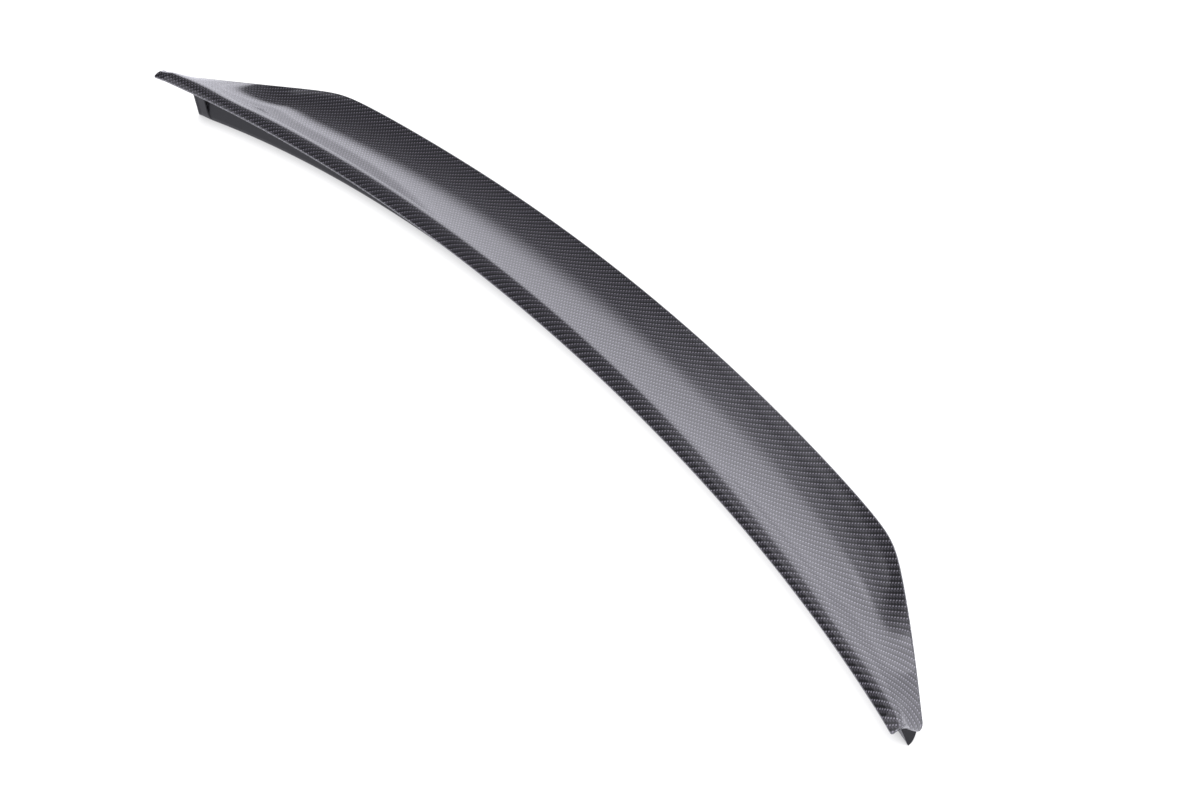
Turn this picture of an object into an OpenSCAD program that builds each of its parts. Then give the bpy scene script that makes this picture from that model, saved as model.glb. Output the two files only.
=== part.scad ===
// Rear spoiler for a car: one thin moulded shell with a hollow top, a raised
// crest with a lip around it, an undercut rear wall and swept tips, open below.
// X runs across the car, Y points forward, Z up. The shell stands on Z = 0
// on the foot of its rear wall and on the middle of its leading edge.

/* [Overall size] */

// Distance from the middle to each tip end, mm
half_width = 575; // [420:1:720]
// Depth of the top from crest to leading edge in the middle, mm
top_depth = 97; // [70:1:150]
// Height of the crest above the ground in the middle, mm
crest_height = 51.5; // [40:0.5:90]
// How much higher the crest stands at the tips, mm
crest_rise = 26.5; // [0:0.5:40]
// How far the crest swings back at the tips, mm
sweep_back = 75.5; // [0:0.5:120]

/* [Top surface] */

// Share of the crest rise that comes only near the tips
rise_late = 0.4; // [0:0.05:1]
// Share of the sweep that comes only near the tips
sweep_late = 0.15; // [0:0.05:1]
// Hollowness of the top in the middle, 1 is straight
hollow_middle = 1.5; // [1.1:0.01:2.5]
// Extra hollowness of the top at the tips
hollow_tip = 1.3; // [0:0.05:2]

/* [Leading edge] */

// Thickness of the leading edge, mm
edge_thick = 3.5; // [2.8:0.1:6]
// Width of the flat land under the leading edge, mm
edge_land = 8; // [5:0.5:14]
// Lift of the leading edge that grows evenly towards the tips, mm
edge_lift = 3.5; // [0:0.5:20]
// Further lift of the leading edge close to the tips, mm
edge_lift_tip = 38; // [0:0.5:48]

/* [Tips] */

// Distance from the middle where the sides start to taper, mm
taper_start = 431; // [300:1:480]
// Roundness of the corner between leading edge and side, mm
corner_round = 21; // [6:1:60]
// Depth of the top left at the tip end, mm
tip_depth = 18; // [14:1:40]
// Rounding of the tip's corners seen from above, mm
tip_round = 3; // [2:0.5:6]
// Reach of the tip beyond its fold, mm
tip_reach = 14.5; // [10:0.5:20]
// Fall of the crest beyond the fold, mm
tip_fall = 2; // [0.2:0.2:5]
// How much of the hollow of the top is filled at the tips
tip_fill = 0.9; // [0:0.05:1]
// Distance inside the fold where the hollow starts to fill, mm
fill_start = 95; // [50:5:160]
// Distance inside the fold where it is filled, mm
fill_end = 15; // [0:5:40]

/* [Lip] */

// Reach of the lip behind the crest, mm
lip_reach = 12.6; // [8:0.2:16]
// Fall of the lip face from crest to nose, mm
lip_fall = 2.4; // [0.5:0.1:4]
// Thickness of the lip at its nose, mm
lip_thick = 4; // [3:0.1:6]
// Distance over which the top rounds into the crest, mm
crest_round = 11; // [4:0.5:20]
// Extra length of that rounding towards the tips, mm
crest_round_tip = 16; // [0:0.5:20]

/* [Walls] */

// Skin thickness of the shell, mm
skin = 2.5; // [1.8:0.1:3.5]
// Distance from the crest forward to the foot of the rear wall, mm
foot_inset = 4.5; // [2:0.5:10]
// How far the top of the rear wall leans forward of its foot, mm
wall_lean = 3; // [0:0.5:6]
// Height of the curved undercut below the crest, mm
undercut = 33; // [20:1:36]
// Width of the flange turned in at the foot, mm
foot_flange = 9; // [6:0.5:14]
// Width that the flange has left at the end walls, mm
flange_end = 1.5; // [0.5:0.5:4]
// Thickness of the flange at the foot, mm
flange_thick = 2.5; // [2:0.1:4]
// Distance from the tip end to the foot of the end wall, mm
end_inset = 11; // [8:1:40]
// How far the top of the end wall leans in from its foot, mm
end_lean = 15; // [0:1:24]
// Thickness of the end wall, mm
end_wall = 3; // [2:0.5:6]
// How far the lower edge of the end wall bulges forward, mm
end_bulge = 8; // [0:0.5:10]

/* [Smoothness] */

// Steps across the top surface
top_steps = 16; // [8:1:20]
// Steps along each half of the straight part
side_steps = 9; // [6:1:14]

/* [Hidden] */

shell_colour = [0.13, 0.13, 0.15];
// Places of the end wall's foot and of the fold where the tip begins
leg_x = half_width - end_inset;
fold_x = half_width - tip_reach;
// Radii of the lip's nose and of the leading edge
nose_radius = lip_thick / 2;
edge_radius = edge_thick / 2;

// How far out a place is, 0 in the middle and 1 at the fold of the tip
function away(x) = pow(x / fold_x, 2);
function eased(x, late) = (1 - late) * away(x) + late * pow(away(x), 2);
function smooth(t) = let (c = min(1, max(0, t))) c * c * (3 - 2 * c);
function bend(a, b, c, t) = (1 - t) * (1 - t) * a + 2 * t * (1 - t) * b + t * t * c;

function crest_y(x) = -sweep_back * eased(x, sweep_late);
function crest_z(x) = crest_height + crest_rise * eased(x, rise_late);
function edge_z(x) = edge_thick + edge_lift * away(x) + edge_lift_tip * pow(away(x), 2);
function hollow(x) = hollow_middle + hollow_tip * away(x);

// Past the taper start the depth falls in a straight line, eased by the corner rounding
function past(x) = (abs(x) - taper_start + norm([abs(x) - taper_start, corner_round])) / 2;
taper_slope = (top_depth - tip_depth) / (past(half_width) - past(0));
function depth(x) = top_depth - taper_slope * (past(x) - past(0));

// The top: v is 0 at the crest and 1 at the leading edge
function filled(x) = tip_fill * smooth((abs(x) - fold_x + fill_start) / (fill_start - fill_end));
function top_z(x, v) =
    let (f = filled(x))
    edge_z(x) + (crest_z(x) - edge_z(x)) * ((1 - f) * pow(1 - v, hollow(x)) + f * (1 - v));
function top_at(x, v) = [crest_y(x) + depth(x) * v, top_z(x, v)];
slope_step = 0.01;
function slope(x, v) =
    let (a = max(0, v - slope_step), b = min(1, v + slope_step))
    (top_z(x, b) - top_z(x, a)) / (depth(x) * (b - a));

// Underside of the top skin, square to the surface above it
function under_at(x, v) =
    let (s = slope(x, v))
    top_at(x, v) + skin * [s, -1] / norm([s, 1]);

function wall_top_z(x) = crest_z(x) - undercut;
function lip_low_z(x) = crest_z(x) - lip_fall - lip_thick;

// Beyond the fold the crest falls a little up to the tip end, where the corners are
// rounded. t is 0 at the fold and 1 at the tip end.
function out_x(t) = fold_x + t * tip_reach;
function out_fall(t, v) = t * tip_fall * (1 - v);
function corner_inset(t) =
    let (d = max(0, (t - 1) * tip_reach + tip_round))
    tip_round - sqrt(max(0, pow(tip_round, 2) - d * d));

// A station s is [x, t, squeeze, kind, foot x]. Squeeze thins the section at the tip
// end; kind is 0 for the hollow shell, 1 for a solid section and 2 for the tip.
// The top's line runs from the leading edge to where the crest starts to round,
// with its points closer together near the crest.
top_crowd = 1.25;
crest_part = 0.4;
function top_line(s) =
    let (rounding = min(crest_round + crest_round_tip * away(s[0]), crest_part * depth(s[0])),
        first = rounding / (depth(s[0]) * norm([1, slope(s[0], 0)])))
    [for (i = [0 : top_steps])
        let (v = first + (1 - first) * pow(1 - i / top_steps, top_crowd), p = top_at(s[0], v))
        [s[0], p[0] + corner_inset(s[1]) * (1 - 2 * v), p[1] - out_fall(s[1], v) - s[2]]];

function nose_y(s) = crest_y(s[0]) - lip_reach + corner_inset(s[1]) + nose_radius;
function nose_z(s) = lip_low_z(s[0]) + nose_radius - out_fall(s[1], 0);

// The rounded crest, which takes up most of the lip face, then the rest of the face
// and the half round nose
crest_share = 0.9;
crest_steps = 7;
function lip_line(s) =
    let (r = nose_radius - s[2],
        from = [for (p = [top_line(s)[top_steps]]) each [p[1], p[2]]],
        crest = [crest_y(s[0]) + corner_inset(s[1]), crest_z(s[0]) - out_fall(s[1], 0) - s[2]],
        end = [nose_y(s), nose_z(s) + r],
        face = crest + (end - crest) * crest_share)
    concat(
        [for (i = [1 : crest_steps])
            let (p = bend(from, crest, face, i / crest_steps)) [s[0], p[0], p[1]]],
        [for (a = [0 : 45 : 180]) [s[0], nose_y(s) - r * sin(a), nose_z(s) + r * cos(a)]]);

// Outside of the rear wall: a curved undercut, then down to the foot. Near the
// tips the curve flattens, so that it stays clear of the top skin.
cove_steps = 6;
wall_count = cove_steps + 3;
cove_top = 0.85;
cove_flat = 0.5;
cove_shift = 4;
foot_break = 0.9;
function wall_profile(x) =
    let (foot = crest_y(x) + foot_inset,
        c = cove_top - cove_flat * away(x),
        p0 = [crest_y(x) - lip_reach + nose_radius, lip_low_z(x)],
        p2 = [foot + wall_lean, wall_top_z(x)],
        p1 = [p2[0] - cove_shift * away(x), p0[1] * c + p2[1] * (1 - c)],
        p3 = [foot, 0])
    concat(
        [for (i = [1 : cove_steps]) bend(p0, p1, p2, i / cove_steps)],
        [(p2 + p3) / 2],
        [p3 + [0, foot_break]],
        [p3 + [foot_break, 0]]);

// Inside of the hollow: foot flange, wall, skin and the land under the leading edge.
// The flange gets narrower over a few of its widths before the end wall, and the land
// where the hollow of the top is filled.
flange_fade = 4;
land_taper = 0.8;
wall_steps = 4;
skin_steps = 10;
inside_count = wall_steps + skin_steps + 5;
skin_from = 2;
function hollow_line(x) =
    let (foot = crest_y(x) + foot_inset,
        room = min(1, (leg_x - x) / (flange_fade * foot_flange)),
        inner = foot + skin + max(flange_end, flange_end + (foot_flange - flange_end) * room),
        low = [foot + skin + flange_end / 2, flange_thick],
        v0 = (foot_inset + wall_lean + skin + skin_from) / depth(x),
        width = edge_land * (1 - land_taper * filled(x)),
        v1 = max(v0 + slope_step, 1 - (width + skin) / depth(x)),
        land = max(crest_y(x) + depth(x) - width, under_at(x, v1)[0] + flange_end / 2))
    concat(
        [[inner, 0], [inner, flange_thick]],
        [for (i = [0 : wall_steps]) low + (under_at(x, v0) - low) * i / (wall_steps + 1)],
        [for (i = [0 : skin_steps]) under_at(x, v0 + (v1 - v0) * i / skin_steps)],
        [[land, edge_z(x) - edge_thick]]);

// Underside of a solid section: from the foot forward and up to the leading edge
bulge_skew = 0.8;
function solid_line(x) =
    let (a = [crest_y(x) + foot_inset + skin + flange_end, 0],
        b = [crest_y(x) + depth(x) - edge_radius, edge_z(x) - edge_thick],
        side = [b[1], -b[0] + a[0]] / norm(b - a))
    [for (i = [0 : inside_count - 1])
        let (t = i / (inside_count - 1))
        a + (b - a) * t + end_bulge * sin(180 * pow(t, bulge_skew)) * side];

// Outside of the end wall's top: the wall's line stopped at the wall top, then
// straight forward under the skin. The tip's underside starts from it.
below_step = 0.4;
function stopped_wall(x) =
    let (line = wall_profile(x), y0 = crest_y(x) + foot_inset + wall_lean)
    [for (i = [0 : wall_count - 1])
        i < cove_steps ? line[i] : [y0 + below_step * (i - cove_steps + 1), wall_top_z(x)]];
function stopped_line(x) =
    let (y0 = crest_y(x) + foot_inset + wall_lean,
        a = [y0 + below_step * (wall_count - cove_steps + 1), wall_top_z(x)],
        b = [crest_y(x) + depth(x) - edge_radius, edge_z(x) - edge_thick])
    [for (i = [0 : inside_count - 1]) a + (b - a) * i / (inside_count - 1)];

// Underside at the tip end: from the lip forward along the top skin
under_first = 0.12;
under_last = 0.96;
under_rate = 6;
under_lead = 0.05;
function tip_under(s, i) =
    let (q = i / (wall_count + inside_count - 1),
        v = under_first + (under_last - under_first) * q,
        p = under_at(s[0], v),
        g = smooth(q * under_rate + under_lead))
    [(1 - g) * nose_y(s) + g * p[0] + corner_inset(s[1]) * (1 - 2 * v),
        (1 - g) * (nose_z(s) - nose_radius) + g * (p[1] - out_fall(s[1], v)) + s[2]];

// The underside of the tip grows from the top of the end wall, [y, z] point p, into that line
function tip_point(s, p, i) =
    let (end = tip_under(s, i),
        grown = p + (end - p) * sin(90 * s[1]),
        from = lean_x([fold_x, 0, 0, 1, leg_x], p[1]))
    [from + (s[0] - from) * (1 - cos(90 * s[1])), grown[0], grown[1]];

// Nose of the leading edge, a little flatter than half round
edge_flat = 0.8;
function nose_line(s) =
    let (r = edge_radius - s[2],
        p = top_at(s[0], 1) - [corner_inset(s[1]), edge_radius])
    [for (a = [180 : -45 : 45]) [s[0], p[0] + edge_flat * r * sin(a), p[1] + r * cos(a)]];

// The end wall leans in towards its top and flares out again into the lip
function lean_x(s, z) =
    let (top = wall_top_z(s[0]),
        lean = end_lean * min(1, max(0, z) / top),
        flare = min(1, max(0, (z - top) / (lip_low_z(s[0]) - top))))
    s[4] == undef ? s[0] : s[4] - lean + (s[0] - s[4] + lean) * flare * flare;

function ring(s, side) =
    let (wall = s[3] == 2 ? stopped_wall(fold_x) : wall_profile(s[0]),
        inside = s[3] == 2 ? stopped_line(fold_x)
            : s[3] == 1 ? solid_line(s[0]) : hollow_line(s[0]),
        n = inside_count - 1,
        low = concat(
            [for (i = [0 : wall_count - 1]) let (p = wall[i])
                s[3] == 2 ? tip_point(s, p, i) : [lean_x(s, p[1]), p[0], p[1]]],
            [for (i = [0 : n])
                let (p = inside[i], x = lean_x(s, p[1]), t = s[3] == 1 ? pow(i / n, 2) : 0)
                s[3] == 2 ? tip_point(s, p, wall_count + i) : [x + (s[0] - x) * t, p[0], p[1]]]))
    [for (p = concat(top_line(s), lip_line(s), low, nose_line(s))) [side * p[0], p[1], p[2]]];

// Stations along one half, closer together at the corner and the tip
corner_from = taper_start - 2 * corner_round;
corner_to = taper_start + 2 * corner_round;
corner_steps = 8;
outer_steps = 5;
tip_steps = 5;
// Small steps in x where the hollow closes and where the tip folds out
close_step = 1;
close_foot = 0.4;
fold_step = 0.6;
cavity_x = leg_x - end_wall;
last_hollow = cavity_x - end_lean - end_wall;
// The tip end is rounded over this share of its reach and thinned this much
round_share = nose_radius / tip_reach;
tip_thin = 0.8 * nose_radius;
half_stations = concat(
    [for (i = [0 : side_steps - 1]) [corner_from * i / side_steps, 0, 0, 0]],
    [for (i = [0 : corner_steps - 1])
        [corner_from + (corner_to - corner_from) * i / corner_steps, 0, 0, 0]],
    [for (i = [0 : outer_steps])
        [corner_to + (last_hollow - corner_to) * i / outer_steps, 0, 0, 0]],
    [[fold_x - end_wall - close_step, 0, 0, 0, cavity_x]],
    [[fold_x - end_wall, 0, 0, 1, cavity_x + close_foot]],
    [[fold_x - fold_step, 0, 0, 1, leg_x]],
    [for (i = [0 : tip_steps]) let (t = (1 - round_share) * i / tip_steps) [out_x(t), t, 0, 2]],
    [for (a = [30, 60, 90])
        let (t = 1 - round_share * (1 - sin(a)))
        [out_x(t), t, tip_thin * (1 - cos(a)), 2]]);

module spoiler_shell() {
    count = len(half_stations);
    rings = concat(
        [for (i = [count - 1 : -1 : 1]) ring(half_stations[i], -1)],
        [for (s = half_stations) ring(s, 1)]);
    n = len(rings[0]);
    m = len(rings);
    flat = [for (r = rings) for (p = r) p];
    along = [for (p = flat) p[1]];
    mid = (max(along) + min(along)) / 2;
    points = [for (p = flat) [p[0], p[1] - mid, p[2]]];
    sides = [for (j = [0 : m - 2]) for (i = [0 : n - 1])
        let (a = j * n + i, b = j * n + (i + 1) % n, c = a + n, d = b + n)
        each [[a, d, b], [a, c, d]]];
    // Each end is closed by a strip between its upper and its lower line
    half = floor((n - 1) / 2);
    first = [for (k = [0 : half - 1])
        let (a = k, b = k + 1, c = n - 2 - k, d = n - 1 - k)
        each (b == c ? [[a, b, d]] : [[a, b, d], [b, c, d]])];
    base = (m - 1) * n;
    last = [for (f = first) [base + f[2], base + f[1], base + f[0]]];
    color(shell_colour) polyhedron(points = points, faces = concat(sides, first, last), convexity = 8);
}

spoiler_shell();
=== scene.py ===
# Looks for the rear spoiler: a smooth shell, clear coated carbon cloth, floor, lights and camera
import math
import bpy
from mathutils import Matrix, Vector


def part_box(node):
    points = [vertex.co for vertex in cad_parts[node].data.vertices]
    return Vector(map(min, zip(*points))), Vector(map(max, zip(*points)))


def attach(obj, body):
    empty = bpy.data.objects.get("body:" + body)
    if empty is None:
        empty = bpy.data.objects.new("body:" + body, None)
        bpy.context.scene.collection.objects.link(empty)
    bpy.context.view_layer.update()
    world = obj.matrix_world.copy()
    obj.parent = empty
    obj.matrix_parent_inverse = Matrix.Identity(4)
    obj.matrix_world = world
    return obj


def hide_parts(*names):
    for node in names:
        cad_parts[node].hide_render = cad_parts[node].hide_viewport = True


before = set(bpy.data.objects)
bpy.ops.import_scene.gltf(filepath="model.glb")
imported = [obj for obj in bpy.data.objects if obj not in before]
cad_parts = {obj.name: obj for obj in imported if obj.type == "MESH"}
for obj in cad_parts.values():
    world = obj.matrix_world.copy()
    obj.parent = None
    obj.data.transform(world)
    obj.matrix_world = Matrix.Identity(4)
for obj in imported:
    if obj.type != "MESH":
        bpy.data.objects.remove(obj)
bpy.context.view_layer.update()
mm = 0.001


# a socket with arithmetic, so that material maths reads as an expression
class Wire:
    def __init__(self, tree, socket):
        self.tree = tree
        self.socket = socket

    def math(self, operation, *values):
        return self.tree.make("ShaderNodeMath", {"operation": operation}, dict(enumerate(values)))

    def __add__(self, other): return self.math("ADD", self, other)
    def __radd__(self, other): return self.math("ADD", other, self)
    def __sub__(self, other): return self.math("SUBTRACT", self, other)
    def __rsub__(self, other): return self.math("SUBTRACT", other, self)
    def __mul__(self, other): return self.math("MULTIPLY", self, other)
    def __rmul__(self, other): return self.math("MULTIPLY", other, self)
    def __truediv__(self, other): return self.math("DIVIDE", self, other)
    def __pow__(self, other): return self.math("POWER", self, other)

    def below(self, limit): return self.math("LESS_THAN", self, limit)
    def floor(self): return self.math("FLOOR", self)
    def part(self): return self.math("FRACT", self)
    def wrap(self, top): return self.math("WRAP", self, top, 0)
    def most(self, other): return self.math("MAXIMUM", self, other)
    def least(self, other): return self.math("MINIMUM", self, other)

    # 0 at low, 1 at high, with soft ends
    def ramp(self, low, high):
        return self.tree.make("ShaderNodeMapRange", {"interpolation_type": "SMOOTHSTEP"},
                              {"Value": self, "From Min": low, "From Max": high})


# the nodes of one material, or of the world
class Paint:
    def __init__(self, tree):
        self.tree = tree
        tree.nodes.clear()

    # one way to make any node: its type, its settings, then values or links for its sockets
    def make(self, kind, settings=None, sockets=None, out=0):
        node = self.tree.nodes.new(kind)
        for name, value in (settings or {}).items():
            setattr(node, name, value)
        for key, value in (sockets or {}).items():
            socket = node.inputs[key]
            if isinstance(value, Wire):
                self.tree.links.new(value.socket, socket)
            elif isinstance(value, (tuple, list)) and len(value) == 3 and len(socket.default_value) == 4:
                socket.default_value = (*value, 1)
            else:
                socket.default_value = value
        return Wire(self, node.outputs[out]) if len(node.outputs) else None

    # colour between two colours
    def blend(self, amount, first, second):
        return self.make("ShaderNodeMix", {"data_type": "RGBA"}, {0: amount, 6: first, 7: second}, 2)

    # the three parts of a vector
    def apart(self, vector):
        node = self.tree.nodes.new("ShaderNodeSeparateXYZ")
        self.tree.links.new(vector.socket, node.inputs[0])
        return [Wire(self, output) for output in node.outputs]


def newMaterial(name):
    material = bpy.data.materials.new(name)
    material.use_nodes = True
    return material, Paint(material.node_tree)


# the shell, in mm: the same form as the solid, drawn with many more points
shell = {
    "halfWidth": 575, "topDepth": 97,
    # the crest, its climb and its sweep to the tips, and its rounding
    "crestHeight": 51.5, "crestRise": 26.5, "riseLate": 0.4, "sweepBack": 75.5, "sweepLate": 0.15,
    "crestRound": 11, "crestRoundTip": 16, "crestPart": 0.4, "crestShare": 0.9,
    # the hollow of the top, and how it fills out towards the tips
    "hollowMiddle": 1.5, "hollowTip": 1.3, "tipFill": 0.9, "fillStart": 106, "fillEnd": 15,
    # the leading edge, and the corners where the side edges start to taper
    "edgeThick": 3.5, "edgeLand": 8, "landTaper": 0.8, "edgeLift": 3.5, "edgeLiftTip": 38, "edgeBlunt": 0.8,
    "taperStart": 431, "cornerRound": 21, "tipDepth": 18,
    # the tips: how they end, and how they turn down behind the crest
    "tipReach": 14.5, "tipRound": 3, "tipFall": 2, "endSqueeze": 0.8,
    "tipTurn": 10, "turnFrom": 0.1, "turnSide": 0.3, "turnLate": 1.5,
    # the lip, the undercut below it, and the wall with its foot
    "lipReach": 12.6, "lipFall": 2.4, "lipThick": 4,
    "undercut": 33, "coveHigh": 0.85, "coveDrop": 0.5, "coveIn": 4,
    "footInset": 4.5, "wallLean": 3, "footRound": 0.9, "footFlange": 9, "flangeTaper": 36, "flangeEnd": 1.5,
    "flangeThick": 2.5, "skin": 2.5, "skinStart": 2,
    # the end walls, and the underside of the tips
    "endInset": 11, "endLean": 15, "endWall": 3, "endBulge": 8, "bulgeLow": 0.8,
    "stopStart": 1.2, "stopEnd": 1.6, "sectionGap": 1, "foldGap": 0.6, "footGap": 0.4,
    "underStart": 0.12, "underSpan": 0.84, "underGrow": 6, "underFirst": 0.05,
    # how many points and sections it is drawn with
    "topSteps": 72, "topCrowd": 1.25, "crestSteps": 14, "lipSteps": 6, "noseSteps": 14, "coveSteps": 16,
    "wallSteps": 6, "footSteps": 2, "skinSteps": 30, "edgeSteps": 10,
    "middleSteps": 66, "cornerSteps": 34, "outerSteps": 34, "endSteps": 6, "tipSteps": 14,
}

legX = shell["halfWidth"] - shell["endInset"]
foldX = shell["halfWidth"] - shell["tipReach"]
noseRadius = shell["lipThick"] / 2
edgeRadius = shell["edgeThick"] / 2
probe = 0.01  # the share of the depth over which a slope is taken


def between(first, second, share):
    return tuple(a + (b - a) * share for a, b in zip(first, second))


def smooth(value):
    value = min(1, max(0, value))
    return value * value * (3 - 2 * value)


# 0 in the middle, 1 at the folds of the tips
def away(x):
    return (x / foldX) ** 2


# from 0 in the middle to 1 at the folds, with a share of it kept for the last part of the way
def eased(x, late):
    return (1 - late) * away(x) + late * away(x) ** 2


def crestY(x):
    return -shell["sweepBack"] * eased(x, shell["sweepLate"])


def crestZ(x):
    return shell["crestHeight"] + shell["crestRise"] * eased(x, shell["riseLate"])


def edgeZ(x):
    return shell["edgeThick"] + shell["edgeLift"] * away(x) + shell["edgeLiftTip"] * away(x) ** 2


# how far x is past the corner, turning from 0 to a straight line within the corner's rounding
def past(x):
    over = abs(x) - shell["taperStart"]
    return (over + math.hypot(over, shell["cornerRound"])) / 2


taperSlope = (shell["topDepth"] - shell["tipDepth"]) / (past(shell["halfWidth"]) - past(0))


def depth(x):
    return shell["topDepth"] - taperSlope * (past(x) - past(0))


# how much of the hollow of the top is filled: nothing in the middle, most of it at the tips
def filled(x):
    share = (abs(x) - foldX + shell["fillStart"]) / (shell["fillStart"] - shell["fillEnd"])
    return shell["tipFill"] * smooth(share)


# v runs over the top from 0 at the crest to 1 at the leading edge
def topZ(x, v):
    hollow = shell["hollowMiddle"] + shell["hollowTip"] * away(x)
    fill = filled(x)
    return edgeZ(x) + (crestZ(x) - edgeZ(x)) * ((1 - fill) * (1 - v) ** hollow + fill * (1 - v))


def topAt(x, v):
    return crestY(x) + depth(x) * v, topZ(x, v)


def slopeAt(x, v):
    low, high = max(0, v - probe), min(1, v + probe)
    return (topZ(x, high) - topZ(x, low)) / (depth(x) * (high - low))


# the underside of the skin, below the top at v
def underAt(x, v):
    slope = slopeAt(x, v)
    y, z = topAt(x, v)
    length = math.hypot(slope, 1)
    return y + shell["skin"] * slope / length, z - shell["skin"] / length


def wallTopZ(x):
    return crestZ(x) - shell["undercut"]


def lipLowZ(x):
    return crestZ(x) - shell["lipFall"] - shell["lipThick"]


# t runs over the tip from 0 at its fold to 1 at its end, where the corners are rounded in
def cornerInset(t):
    over = max(0, (t - 1) * shell["tipReach"] + shell["tipRound"])
    return shell["tipRound"] - math.sqrt(max(0, shell["tipRound"] ** 2 - over * over))


# how far the end of the tip turns down, behind its crest
def turnedDown(t, v):
    along = max(0, (t - shell["turnFrom"]) / (1 - shell["turnFrom"]))
    return shell["tipTurn"] * along ** shell["turnLate"] * smooth(v / shell["turnSide"])


# from the leading edge up the top to the crest
def topLine(x, t, squeeze):
    rounding = min(shell["crestRound"] + shell["crestRoundTip"] * away(x), shell["crestPart"] * depth(x))
    first = rounding / (depth(x) * math.hypot(1, slopeAt(x, 0)))
    line = []
    for i in range(shell["topSteps"] + 1):
        v = first + (1 - first) * (1 - i / shell["topSteps"]) ** shell["topCrowd"]
        y, z = topAt(x, v)
        z -= t * shell["tipFall"] * (1 - v) + turnedDown(t, v) + squeeze
        line.append((x, y + cornerInset(t) * (1 - 2 * v), z))
    return line


def noseAt(x, t):
    y = crestY(x) - shell["lipReach"] + cornerInset(t) + noseRadius
    return y, lipLowZ(x) + noseRadius - shell["tipFall"] * t


# rounded crest, lip face, then the nose of the lip
def lipLine(x, t, squeeze):
    y, z = noseAt(x, t)
    radius = noseRadius - squeeze
    crest = (crestY(x) + cornerInset(t), crestZ(x) - shell["tipFall"] * t - squeeze)
    last = topLine(x, t, squeeze)[-1][1:]
    face = between(crest, (y, z + radius), shell["crestShare"])
    line = []
    for i in range(1, shell["crestSteps"]):
        share = i / shell["crestSteps"]
        line.append((x, *between(between(last, crest, share), between(crest, face, share), share)))
    for i in range(shell["lipSteps"]):
        line.append((x, *between(face, (y, z + radius), i / shell["lipSteps"])))
    for i in range(shell["noseSteps"] + 1):
        angle = math.pi * i / shell["noseSteps"]
        line.append((x, y - radius * math.sin(angle), z + radius * math.cos(angle)))
    return line


# undercut, then the wall down to its foot
def wallProfile(x):
    foot = crestY(x) + shell["footInset"]
    radius = shell["footRound"]
    share = shell["coveHigh"] - shell["coveDrop"] * away(x)
    start = (crestY(x) - shell["lipReach"] + noseRadius, lipLowZ(x))
    end = (foot + shell["wallLean"], wallTopZ(x))
    bend = (end[0] - shell["coveIn"] * away(x), start[1] * share + end[1] * (1 - share))
    line = []
    for i in range(1, shell["coveSteps"] + 1):
        share = i / shell["coveSteps"]
        line.append(between(between(start, bend, share), between(bend, end, share), share))
    for i in range(1, shell["wallSteps"]):
        line.append(between(end, (foot, radius), i / shell["wallSteps"]))
    for i in range(shell["footSteps"] + 1):
        angle = math.pi / 2 * i / shell["footSteps"]
        line.append((foot + radius * (1 - math.cos(angle)), radius * (1 - math.sin(angle))))
    return line


# from the foot's flange up the inside of the wall, under the skin, to the land behind the leading edge
def hollowLine(x):
    foot = crestY(x) + shell["footInset"]
    room = min(1, (legX - x) / shell["flangeTaper"])
    flange = shell["flangeEnd"] + (shell["footFlange"] - shell["flangeEnd"]) * room
    inner = foot + shell["skin"] + max(shell["flangeEnd"], flange)
    bend = (foot + shell["skin"] + shell["flangeEnd"] / 2, shell["flangeThick"])
    v0 = (shell["footInset"] + shell["wallLean"] + shell["skin"] + shell["skinStart"]) / depth(x)
    landWidth = shell["edgeLand"] * (1 - shell["landTaper"] * filled(x))
    v1 = max(v0 + probe, 1 - (landWidth + shell["skin"]) / depth(x))
    land = max(crestY(x) + depth(x) - landWidth, underAt(x, v1)[0] + shell["flangeEnd"] / 2)
    line = [(inner, 0), (inner, shell["flangeThick"])]
    for i in range(shell["wallSteps"] + 1):
        line.append(between(bend, underAt(x, v0), i / (shell["wallSteps"] + 1)))
    for i in range(shell["skinSteps"] + 1):
        line.append(underAt(x, v0 + (v1 - v0) * i / shell["skinSteps"]))
    return line + [(land, edgeZ(x) - shell["edgeThick"])]


# points on the wall's line and on the inside's
wallCount, insideCount = len(wallProfile(0)), len(hollowLine(0))


# from the foot straight to the leading edge, with a bulge, where the end wall closes the hollow
def solidLine(x):
    start = (crestY(x) + shell["footInset"] + shell["skin"] + shell["flangeEnd"], 0)
    end = (crestY(x) + depth(x) - edgeRadius, edgeZ(x) - shell["edgeThick"])
    length = math.dist(start, end)
    line = []
    for i in range(insideCount):
        share = i / (insideCount - 1)
        push = shell["endBulge"] * math.sin(math.pi * share ** shell["bulgeLow"]) / length
        y, z = between(start, end, share)
        line.append((y + push * (end[1] - start[1]), z - push * (end[0] - start[0])))
    return line


# the line that the underside of the tip grows from: the wall stopped at its top
def stoppedLine(x):
    y = crestY(x) + shell["footInset"] + shell["wallLean"]
    line = wallProfile(x)[:shell["coveSteps"]]
    below = wallCount - len(line)
    line += [(y + shell["stopStart"] * (i + 1) / below, wallTopZ(x)) for i in range(below)]
    start = (y + shell["stopEnd"], wallTopZ(x))
    end = (crestY(x) + depth(x) - edgeRadius, edgeZ(x) - shell["edgeThick"])
    return line + [between(start, end, i / (insideCount - 1)) for i in range(insideCount)]


# where a point at height z stands on the leaning end wall, which flares out to x below the lip
def leanX(x, footX, z):
    top = wallTopZ(x)
    lean = shell["endLean"] * min(1, max(0, z) / top)
    flare = min(1, max(0, (z - top) / (lipLowZ(x) - top)))
    return footX - lean + (x - footX + lean) * flare * flare


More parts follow.
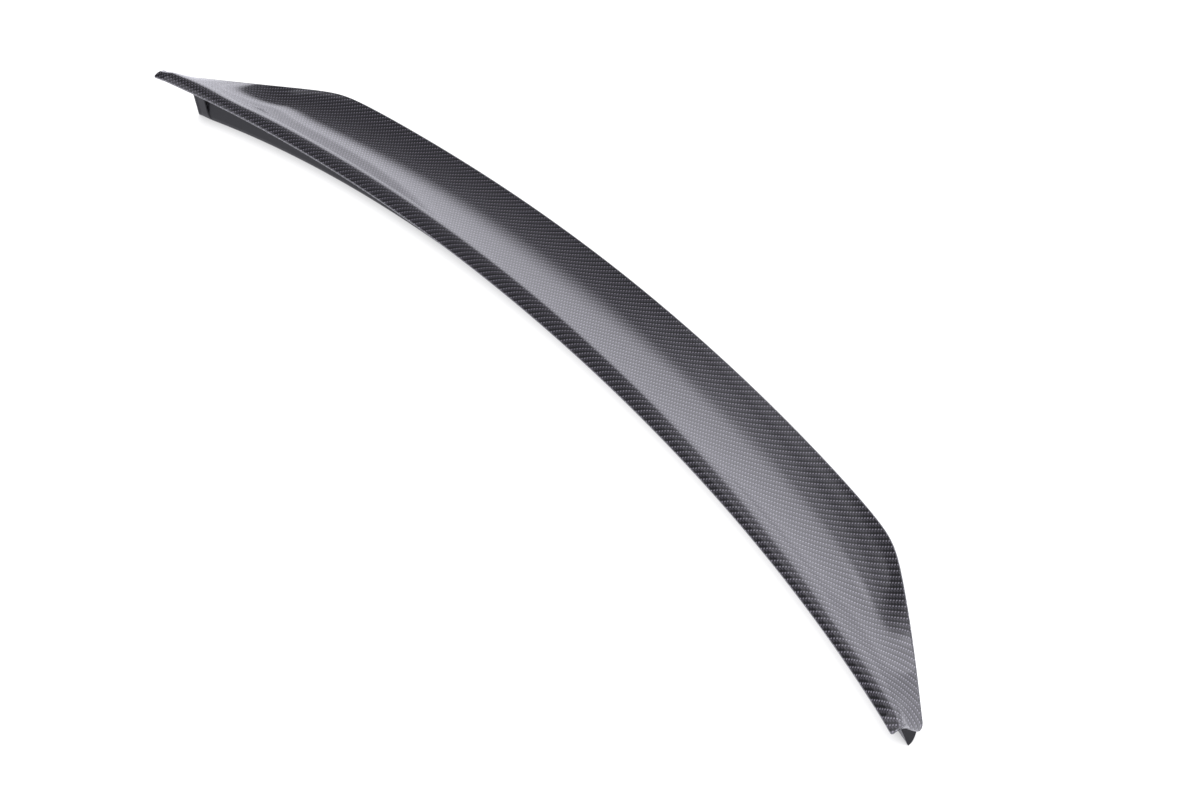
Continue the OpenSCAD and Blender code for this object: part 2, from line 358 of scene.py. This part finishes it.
# a point of the tip's underside, on its way from the end wall out to the tip's rim
def tipPoint(x, t, squeeze, point, i):
    y, z = noseAt(x, t)
    share = i / (wallCount + insideCount - 1)
    v = shell["underStart"] + shell["underSpan"] * share
    under = underAt(x, v)
    grow = smooth(share * shell["underGrow"] + shell["underFirst"])
    end = ((1 - grow) * y + grow * under[0] + cornerInset(t) * (1 - 2 * v),
           (1 - grow) * (z - noseRadius) + squeeze
           + grow * (under[1] - shell["tipFall"] * t * (1 - v) - turnedDown(t, v)))
    start = leanX(foldX, legX, point[1])
    turn = math.pi / 2 * t
    return (start + (x - start) * (1 - math.cos(turn)), *between(point, end, math.sin(turn)))


# the rounded nose of the leading edge
def edgeLine(x, t, squeeze):
    y, z = topAt(x, 1)
    y -= cornerInset(t)
    z -= edgeRadius + turnedDown(t, 1)
    tight = edgeRadius - squeeze
    line = []
    for i in range(shell["edgeSteps"]):
        angle = math.pi * (1 - i / shell["edgeSteps"])
        line.append((x, y + shell["edgeBlunt"] * tight * math.sin(angle), z + tight * math.cos(angle)))
    return line


# one ring of points round the section; footX is the end wall's place at the foot, where there is one
def ringAt(x, t=0, squeeze=0, kind="hollow", footX=None):
    top = topLine(x, t, squeeze)
    lip = lipLine(x, t, squeeze)
    if kind == "tip":
        low = [tipPoint(x, t, squeeze, point, i) for i, point in enumerate(stoppedLine(foldX))]
    else:
        line = wallProfile(x) + (solidLine(x) if kind == "solid" else hollowLine(x))
        low = []
        for i, (y, z) in enumerate(line):
            placed = x if footX is None else leanX(x, footX, z)
            share = max(0, i - wallCount) / (insideCount - 1)
            drawn = share ** 2 if kind == "solid" else 0
            low.append((placed + (x - placed) * drawn, y, z))
    return top + lip + low + edgeLine(x, t, squeeze)


def spread(first, last, steps):
    return [first + (last - first) * i / steps for i in range(steps)]


# all rings from the middle to one tip
def halfRings():
    cornerFrom = shell["taperStart"] - 2 * shell["cornerRound"]
    cornerTo = shell["taperStart"] + 2 * shell["cornerRound"]
    cavityX = legX - shell["endWall"]
    lastHollow = cavityX - shell["endLean"] - shell["endWall"]
    places = spread(0, cornerFrom, shell["middleSteps"]) + spread(cornerFrom, cornerTo, shell["cornerSteps"])
    places += spread(cornerTo, lastHollow, shell["outerSteps"]) + [lastHollow]
    rings = [ringAt(x) for x in places]
    steps = shell["endSteps"]
    solidX = foldX - shell["endWall"]
    lastX = solidX - shell["sectionGap"]
    for i in range(1, steps + 1):
        share = i / steps
        rings.append(ringAt(lastHollow + (lastX - lastHollow) * share,
                            footX=lastHollow + (cavityX - lastHollow) * share))
    solidFoot = cavityX + shell["footGap"]
    for i in range(steps + 1):
        rings.append(ringAt(solidX + (foldX - shell["foldGap"] - solidX) * i / steps, kind="solid",
                            footX=solidFoot + (legX - solidFoot) * i / steps))
    roundShare = noseRadius / shell["tipReach"]
    for i in range(shell["tipSteps"] + 1):
        t = (1 - roundShare) * i / shell["tipSteps"]
        rings.append(ringAt(foldX + t * shell["tipReach"], t, 0, "tip"))
    for i in range(1, steps + 1):
        angle = math.pi / 2 * i / steps
        t = 1 - roundShare * (1 - math.sin(angle))
        squeeze = shell["endSqueeze"] * noseRadius * (1 - math.cos(angle))
        rings.append(ringAt(foldX + t * shell["tipReach"], t, squeeze, "tip"))
    return rings


# the cloth follows the crest: u runs along it, v across it, both in metres
def clothMap(rings, crestIndex):
    alongCrest = [0]
    for before, after in zip(rings, rings[1:]):
        alongCrest.append(alongCrest[-1] + math.dist(before[crestIndex], after[crestIndex]))
    middle = alongCrest[len(rings) // 2]
    maps = []
    for ring, along in zip(rings, alongCrest):
        across = [0] * len(ring)
        for i in range(crestIndex - 1, -1, -1):
            across[i] = across[i + 1] + math.dist(ring[i][1:], ring[i + 1][1:])
        for i in range(crestIndex + 1, len(ring)):
            across[i] = across[i - 1] - math.dist(ring[i][1:], ring[i - 1][1:])
        maps.append([((along - middle) * mm, value * mm) for value in across])
    return maps


def buildShell(cloth, wallFinish):
    right = halfRings()
    left = [[(-x, y, z) for x, y, z in ring] for ring in right[:0:-1]]
    rings = left + right
    count = len(rings[0])
    ys = [point[1] for ring in rings for point in ring]
    middle = (max(ys) + min(ys)) / 2
    low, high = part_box("spoiler_shell")
    points = []
    for ring in rings:
        for x, y, z in ring:
            spot = (x * mm, (y - middle) * mm, z * mm)
            points.append([min(high[i], max(low[i], spot[i])) for i in range(3)])
    maps = clothMap(rings, shell["topSteps"])
    closing = 4 * mm  # the cloth's width on the strip that closes each ring
    lowFrom = shell["topSteps"] + shell["crestSteps"] + shell["lipSteps"] + shell["noseSteps"]
    lowTo = lowFrom + wallCount + insideCount
    faces, corners, finishes = [], [], []
    for j in range(len(rings) - 1):
        for i in range(count):
            k = (i + 1) % count
            finishes.append(1 if lowFrom <= i < lowTo else 0)
            faces.append((j * count + i, (j + 1) * count + i, (j + 1) * count + k, j * count + k))
            last = maps[j][i][1] - closing if k == 0 else maps[j][k][1]
            across = (maps[j][i][1], maps[j + 1][i][1], maps[j + 1][k][1] if k else last, last)
            along = (maps[j][i][0], maps[j + 1][i][0], maps[j + 1][i][0], maps[j][i][0])
            corners += list(zip(along, across))
    # a cap over the first and the last ring
    half = (count - 1) // 2
    for base, flip, row in ((0, False, 0), ((len(rings) - 1) * count, True, len(rings) - 1)):
        for k in range(half):
            quad = [k, k + 1, count - 2 - k, count - 1 - k]
            if quad[1] == quad[2]:
                quad.pop(2)
            if flip:
                quad.reverse()
            faces.append(tuple(base + i for i in quad))
            finishes.append(0)
            corners += [(rings[row][i][1] * mm, rings[row][i][2] * mm) for i in quad]
    mesh = bpy.data.meshes.new("spoilerShell")
    mesh.from_pydata(points, [], faces)
    layer = mesh.uv_layers.new(name="cloth")
    for index, corner in enumerate(corners):
        layer.data[index].uv = corner
    mesh.polygons.foreach_set("use_smooth", [True] * len(faces))
    mesh.materials.append(cloth)
    mesh.materials.append(wallFinish)
    mesh.polygons.foreach_set("material_index", finishes)
    mesh.update()
    piece = bpy.data.objects.new("spoilerShell", mesh)
    bpy.context.scene.collection.objects.link(piece)
    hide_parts("spoiler_shell")
    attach(piece, "root")
    print("spoiler shell:", len(faces), "faces")


carbon = {
    "towWidth": 0.0020,  # in metres, like the other lengths of the materials
    "repeat": 4,  # tows in one repeat of the twill
    "over": 2,  # tows that a thread passes over
    # the darker warp is painted shade and the lighter weft painted sheen: the same black fibre, lit
    # differently by its direction
    "warpShadeColour": (0.054, 0.051, 0.060),
    "weftSheenColour": (0.200, 0.189, 0.221),
    # dark resin in the gaps, and painted shade down each thread's sides and float ends
    "gapShadeColour": (0.008, 0.008, 0.009),
    "metallic": 0.5,
    "roughness": 0.5,
    "relief": 0.00010,
    "reliefStrength": 0.8,
    "gapShadeEdge": (0.12, 0.82),  # heights over which the dark gap and the painted shade turn into the thread's colour
    "coatRoughness": 0.035,
    "coatBend": 1.68,  # its index of refraction
}


# 2/2 twill cloth under a smooth clear coat
def carbonCloth():
    material, paint = newMaterial("clearCoatedCarbon")
    cloth = paint.make("ShaderNodeUVMap", {"uv_map": "cloth"})
    u, v, _ = paint.apart(cloth)
    a, b = u / carbon["towWidth"], v / carbon["towWidth"]
    repeat, over = carbon["repeat"], carbon["over"]
    warpUp = ((a.floor() - b.floor()).wrap(repeat)).below(over - 0.5)
    # how high a thread stands: rounded across, and dipping at the ends of its float
    warpAcross = 1 - ((b.part() * 2 - 1) ** 2)
    weftAcross = 1 - ((a.part() * 2 - 1) ** 2)
    warpAlong = 1 - (((a - b.floor()).wrap(repeat) - over / 2) ** 2)
    weftAlong = 1 - (((b - a.floor()).wrap(repeat) - over / 2) ** 2)
    height = warpAcross * warpAlong * warpUp + weftAcross * weftAlong * (1 - warpUp)
    # painted sheen on the weft and painted shade on the warp, by which thread lies on top
    shade = paint.blend(warpUp, carbon["weftSheenColour"], carbon["warpShadeColour"])
    # painted shade by height: darkest in the gaps, fading to the thread's colour on its crown
    shade = paint.blend(height.ramp(*carbon["gapShadeEdge"]), carbon["gapShadeColour"], shade)
    bump = paint.make("ShaderNodeBump", None, {
        "Height": height, "Distance": carbon["relief"], "Strength": carbon["reliefStrength"]})
    shader = paint.make("ShaderNodeBsdfPrincipled", None, {
        "Base Color": shade, "Metallic": carbon["metallic"], "Roughness": carbon["roughness"],
        "Normal": bump, "Coat Weight": 1.0, "Coat Roughness": carbon["coatRoughness"],
        "Coat IOR": carbon["coatBend"]})
    paint.make("ShaderNodeOutputMaterial", None, {"Surface": shader})
    return material


resin = {
    "darkColour": (0.005, 0.005, 0.006),
    "paleColour": (0.016, 0.016, 0.018),
    "grain": 0.0012,
    "grainDetail": 3.0,
    "cloud": 0.06,  # size of the broad patches
    "cloudDetail": 4.0,
    "roughness": (0.30, 0.42),
    "shine": 0.08,  # specular level
    "relief": 0.00004,
    "reliefStrength": 0.5,
}


# bare satin resin of the wall and the hollow, with a faint cloudy grain
def satinResin():
    material, paint = newMaterial("satinResin")
    place = paint.make("ShaderNodeTexCoord", out=3)
    fine = paint.make("ShaderNodeTexNoise", None, {
        "Vector": place, "Scale": 1 / resin["grain"], "Detail": resin["grainDetail"]})
    broad = paint.make("ShaderNodeTexNoise", None, {
        "Vector": place, "Scale": 1 / resin["cloud"], "Detail": resin["cloudDetail"]})
    low, high = resin["roughness"]
    bump = paint.make("ShaderNodeBump", None, {
        "Height": fine, "Distance": resin["relief"], "Strength": resin["reliefStrength"]})
    shader = paint.make("ShaderNodeBsdfPrincipled", None, {
        "Base Color": paint.blend(broad, resin["darkColour"], resin["paleColour"]),
        "Roughness": low + (high - low) * broad, "Normal": bump, "Specular IOR Level": resin["shine"]})
    paint.make("ShaderNodeOutputMaterial", None, {"Surface": shader})
    return material


studio = {
    # the floor as the camera sees it, with its narrow shadow
    "floorSize": 40,
    "floorColour": (0.98, 0.98, 0.985),
    "floorPale": 0.75,
    "paleBright": 1.35,
    "shadowWidth": 0.02,
    # the floor as the coat mirrors it: bright far away, dimmer round the object and on the +X side
    "nearBright": 1.1,
    "tableMiddle": -0.2,
    "tableRadius": (0.37, 0.72),
    "tableDim": 0.85,
    "tableDimSide": (0.2, 0.55),
    # the light that the coat mirrors from around, by height
    "skyTint": (0.92, 0.915, 1.0),
    "lowBright": 2.1,
    "highDark": 0.09,
    "band": (0.26, 0.47),
    "bandTilt": 0.77,
    "tiltFrom": -0.40,
    "tiltRange": (-0.12, 0.33),
    # a softer panel above that, on the +X side, and one overhead
    "panelBright": 0.85,
    "panelSide": (-0.58, -0.38),
    "panelLow": (0.28, 0.42),
    "panelHigh": (0.55, 0.72),
    "panelFade": 0.8,
    "topBright": 0.6,
    "topSide": (-0.56, -0.51),
    "topLow": (0.62, 0.74),
}


def buildStudio():
    size = studio["floorSize"] / 2
    mesh = bpy.data.meshes.new("floor")
    corners = [(-size, -size, 0), (size, -size, 0), (size, size, 0), (-size, size, 0)]
    mesh.from_pydata(corners, [], [(0, 1, 2, 3)])
    floor = bpy.data.objects.new("floor", mesh)
    bpy.context.scene.collection.objects.link(floor)
    material, paint = newMaterial("paleFloor")
    place = paint.make("ShaderNodeNewGeometry")
    x, y, _ = paint.apart(place)
    far = (((x - studio["tableMiddle"]) ** 2 + y ** 2) ** 0.5).ramp(*studio["tableRadius"])
    far = far * (1 - x.ramp(*studio["tableDimSide"]) * studio["tableDim"])
    toCamera = paint.make("ShaderNodeLightPath")  # its first output, 1 on the camera's own rays
    glossy = Wire(paint, toCamera.socket.node.outputs["Is Glossy Ray"])
    matt = paint.make("ShaderNodeBsdfDiffuse", None, {"Color": studio["floorColour"]})
    # a narrow shadow where the object stands
    shelter = paint.make("ShaderNodeAmbientOcclusion", None, {"Distance": studio["shadowWidth"]}, 1)
    pale = paint.make("ShaderNodeEmission", None, {"Color": (1, 1, 1), "Strength": studio["paleBright"]})
    pale = paint.make("ShaderNodeMixShader", None, {0: shelter, 2: pale})
    matt = paint.make("ShaderNodeMixShader", None, {0: toCamera * studio["floorPale"], 1: matt, 2: pale})
    tint = studio["skyTint"]
    near = paint.make("ShaderNodeEmission", None, {"Color": tint, "Strength": studio["nearBright"]})
    glow = paint.make("ShaderNodeEmission", None, {"Color": tint, "Strength": studio["lowBright"]})
    mirrored = paint.make("ShaderNodeMixShader", None, {0: far, 1: near, 2: glow})
    shader = paint.make("ShaderNodeMixShader", None, {0: glossy, 1: matt, 2: mirrored})
    paint.make("ShaderNodeOutputMaterial", None, {"Surface": shader})
    mesh.materials.append(material)

    world = bpy.data.worlds.new("studio")
    world.use_nodes = True
    bpy.context.scene.world = world
    sky = Paint(world.node_tree)
    place = sky.make("ShaderNodeTexCoord")
    direction = Wire(sky, place.socket.node.outputs["Generated"])
    x, _, up = sky.apart(direction)
    # the bright low band stands lower towards -X
    least, most = studio["tiltRange"]
    lift = (studio["tiltFrom"] - x).most(least).least(most) * studio["bandTilt"]
    dark = (up + lift).ramp(*studio["band"])
    level = studio["lowBright"] + dark * (studio["highDark"] - studio["lowBright"])
    panel = x.ramp(*studio["panelSide"]) * up.ramp(*studio["panelLow"])
    panel = panel * (1 - up.ramp(*studio["panelHigh"]) * studio["panelFade"])
    top = x.ramp(*studio["topSide"]) * up.ramp(*studio["topLow"])
    level = level + panel * studio["panelBright"] + top * studio["topBright"]
    toCamera = sky.make("ShaderNodeLightPath")
    seen = sky.make("ShaderNodeBackground", None, {"Color": (1, 1, 1), "Strength": 1})
    light = sky.make("ShaderNodeBackground", None, {"Color": studio["skyTint"], "Strength": level})
    both = sky.make("ShaderNodeMixShader", None, {0: toCamera, 1: light, 2: seen})
    sky.make("ShaderNodeOutputWorld", None, {"Surface": both})


lamps = {
    "key": {"place": (0.75, 0.0, 0.9), "size": 0.6, "watts": 12.5, "colour": (1, 1, 1)},
}


def buildLamps():
    for name, values in lamps.items():
        data = bpy.data.lights.new(name, "AREA")
        data.shape = "DISK"
        data.size = values["size"]
        data.energy = values["watts"]
        data.color = values["colour"]
        lamp = bpy.data.objects.new(name, data)
        lamp.location = values["place"]
        lamp.rotation_euler = (-Vector(values["place"])).to_track_quat("-Z", "Y").to_euler()
        lamp.visible_glossy = False  # it lights the cloth, without a white patch in the coat
        bpy.context.scene.collection.objects.link(lamp)


photoCamera = {
    "place": (1.05584, -0.43492, 1.40044),
    "right": (0.636468, 0.741338, -0.212899),
    "up": (-0.545181, 0.627654, 0.555723),
    "lens": 54.14,
    "sensor": 36,
    "sight": 100,  # how far it sees
}


def buildCamera():
    right, up = Vector(photoCamera["right"]), Vector(photoCamera["up"])
    back = right.cross(up)
    data = bpy.data.cameras.new("photoCamera")
    data.lens = photoCamera["lens"]
    data.sensor_width = photoCamera["sensor"]
    data.clip_end = photoCamera["sight"]
    camera = bpy.data.objects.new("photoCamera", data)
    turn = Matrix((right, up, back)).transposed().to_4x4()
    camera.matrix_world = Matrix.Translation(photoCamera["place"]) @ turn
    bpy.context.scene.collection.objects.link(camera)
    bpy.context.scene.camera = camera


cloth, wallFinish = carbonCloth(), satinResin()
print("cloth and resin mixed")
buildShell(cloth, wallFinish)
buildStudio()
buildLamps()
buildCamera()
bpy.context.scene.view_settings.view_transform = "Standard"
print("floor, lights and camera placed")
